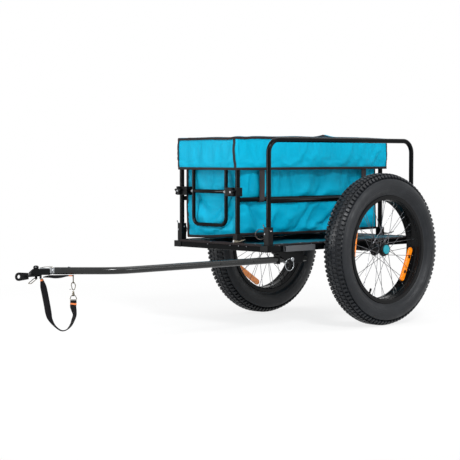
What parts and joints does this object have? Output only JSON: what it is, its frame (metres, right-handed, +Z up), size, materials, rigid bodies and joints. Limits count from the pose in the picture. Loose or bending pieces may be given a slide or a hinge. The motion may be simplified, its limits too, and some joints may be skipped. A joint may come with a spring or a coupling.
{
  "type": "bicycle cargo trailer",
  "caption": "Side-towed beach bike trailer: fat spoked wheels, flat deck, rail hoops round an open fabric bag, a slot for boards beside it, and a bent tow bar with a pin hitch.",
  "frame": {"origin": "on the ground, under the middle of the trailer's length and of its wheel track", "axes": "+X to the trailer's left, -Y the way it travels, +Z up"},
  "size_m": [0.778, 1.892, 0.7483],
  "materials": {
    "amber": "clear amber plastic with a prism back",
    "bag_fabric": "coated turquoise cloth with a ripstop weave",
    "bearing_steel": "bright turned steel",
    "black_plastic": "black moulded nylon",
    "black_rim": "black anodised, satin",
    "black_steel": "black, satin",
    "black_webbing": "black woven webbing",
    "deck_fabric": "coated dark teal cloth",
    "grey_plastic": "dark grey moulded plastic",
    "grey_webbing": "dark grey woven webbing",
    "inner_rubber": "smooth butyl rubber",
    "nickel": "nickel plated, bright",
    "powder_coat": "black powder coat, semi gloss",
    "rubber": "matt black rubber",
    "tow_bar_grey": "dark grey metallic, satin",
    "turquoise": "moulded turquoise plastic, satin",
    "zinc": "zinc plated, satin"
  },
  "bodies": {
    "trailer": {"bag": "bag_fabric", "bag_cuff": "bag_fabric", "base_frame": "powder_coat", "deck_sheet": "deck_fabric", "front_base_clamp": "black_plastic", "front_guard_loop": "powder_coat", "front_side_strap": "grey_webbing", "hitch_collar": "zinc", "hitch_coupler": "black_plastic", "left_axle": "bearing_steel", "left_front_hoop_socket": "black_plastic", "left_guard_clamp": "black_plastic", "left_hoop": "powder_coat", "left_rail_end_cap": "grey_plastic", "left_rear_hoop_socket": "black_plastic", "middle_hoop": "powder_coat", "rear_base_clamp": "black_plastic", "rear_side_strap": "grey_webbing", "right_axle": "bearing_steel", "right_front_hoop_socket": "black_plastic", "right_guard_clamp": "black_plastic", "right_hoop": "powder_coat", "right_rail_end_cap": "grey_plastic", "right_rear_hoop_socket": "black_plastic", "safety_strap": "black_webbing", "side_sleeve": "grey_plastic", "strap_anchor_web": "black_webbing", "swivel_ring": "nickel", "tow_bar": "tow_bar_grey", "tow_bar_receiver": "black_plastic"},
    "left_wheel": {"left_tyre": "rubber", "left_inner_tube": "inner_rubber", "left_rim": "black_rim", "left_spoked_hub": "black_steel", "left_hub_bearings": "bearing_steel", "left_front_reflector": "amber", "left_rear_reflector": "amber"},
    "left_button": {"left_axle_button": "turquoise"},
    "right_wheel": {"right_tyre": "rubber", "right_inner_tube": "inner_rubber", "right_rim": "black_rim", "right_spoked_hub": "black_steel", "right_hub_bearings": "bearing_steel", "right_front_reflector": "amber", "right_rear_reflector": "amber"},
    "right_button": {"right_axle_button": "turquoise"},
    "hitch_plate": {"axle_plate": "black_steel", "hitch_pin": "black_steel"},
    "pin_bail": {"hitch_pin_bail": "zinc"},
    "coupler_latch": {"hitch_latch": "zinc"},
    "cross_pin": {"tow_pin": "zinc"},
    "left_front_pin": {"left_front_hoop_pin": "zinc"},
    "left_rear_pin": {"left_rear_hoop_pin": "zinc"},
    "right_front_pin": {"right_front_hoop_pin": "zinc"},
    "right_rear_pin": {"right_rear_hoop_pin": "zinc"},
    "front_lever": {"front_cam_lever": "zinc"},
    "rear_lever": {"rear_cam_lever": "zinc"},
    "left_knob": {"left_star_knob": "black_plastic"},
    "right_knob": {"right_star_knob": "black_plastic"},
    "strap_hook": {"snap_hook": "nickel"}
  },
  "joints": [
    {"name": "left_wheel_spin", "type": "hinge", "parent": "trailer", "child": "left_wheel", "pos_m": [0.336, 0.62454, 0.303], "axis": [1, 0, 0], "continuous": true},
    {"name": "right_wheel_spin", "type": "hinge", "parent": "trailer", "child": "right_wheel", "pos_m": [-0.336, 0.62454, 0.303], "axis": [1, 0, 0], "continuous": true},
    {"name": "left_button_press", "type": "slide", "parent": "trailer", "child": "left_button", "axis": [-1, 0, 0], "range_m": [0, 0.0022], "stiffness_N_per_m": 800, "springref_m": -0.001},
    {"name": "right_button_press", "type": "slide", "parent": "trailer", "child": "right_button", "axis": [1, 0, 0], "range_m": [0, 0.0022], "stiffness_N_per_m": 800, "springref_m": -0.001},
    {"name": "hitch_yaw", "type": "hinge", "parent": "trailer", "child": "hitch_plate", "pos_m": [0.06129, -0.85504, 0.281], "axis": [0, 0, 1], "range_deg": [-80, 45]},
    {"name": "bail_swing", "type": "hinge", "parent": "hitch_plate", "child": "pin_bail", "pos_m": [0.06129, -0.85504, 0.25553], "axis": [1, 0, 0], "range_deg": [0, 90]},
    {"name": "latch_lift", "type": "hinge", "parent": "trailer", "child": "coupler_latch", "pos_m": [0.07118, -0.84444, 0.2903], "axis": [0.7314, -0.682, 0], "range_deg": [0, 60]},
    {"name": "cross_pin_pull", "type": "slide", "parent": "trailer", "child": "cross_pin", "axis": [1, 0, 0], "range_m": [0, 0.055]},
    {"name": "left_front_pin_pull", "type": "slide", "parent": "trailer", "child": "left_front_pin", "axis": [-1, 0, 0], "range_m": [0, 0.03]},
    {"name": "left_rear_pin_pull", "type": "slide", "parent": "trailer", "child": "left_rear_pin", "axis": [-1, 0, 0], "range_m": [0, 0.03]},
    {"name": "right_front_pin_pull", "type": "slide", "parent": "trailer", "child": "right_front_pin", "axis": [-1, 0, 0], "range_m": [0, 0.03]},
    {"name": "right_rear_pin_pull", "type": "slide", "parent": "trailer", "child": "right_rear_pin", "axis": [-1, 0, 0], "range_m": [0, 0.03]},
    {"name": "front_lever_lift", "type": "hinge", "parent": "trailer", "child": "front_lever", "pos_m": [0.078, 0.06424, 0.3461], "axis": [0, -1, 0], "range_deg": [0, 100]},
    {"name": "rear_lever_lift", "type": "hinge", "parent": "trailer", "child": "rear_lever", "pos_m": [0.078, 0.92584, 0.3461], "axis": [0, -1, 0], "range_deg": [0, 100]},
    {"name": "left_knob_turn", "type": "hinge", "parent": "trailer", "child": "left_knob", "pos_m": [0.07, 0.06014, 0.5355], "axis": [0, -1, 0], "continuous": true},
    {"name": "right_knob_turn", "type": "hinge", "parent": "trailer", "child": "right_knob", "pos_m": [-0.24, 0.06014, 0.5355], "axis": [0, -1, 0], "continuous": true},
    {"name": "hook_swivel", "type": "hinge", "parent": "trailer", "child": "strap_hook", "pos_m": [0.14825, -0.76179, 0.197], "axis": [0, 0, 1], "range_deg": [-30, 30]}
  ]
}
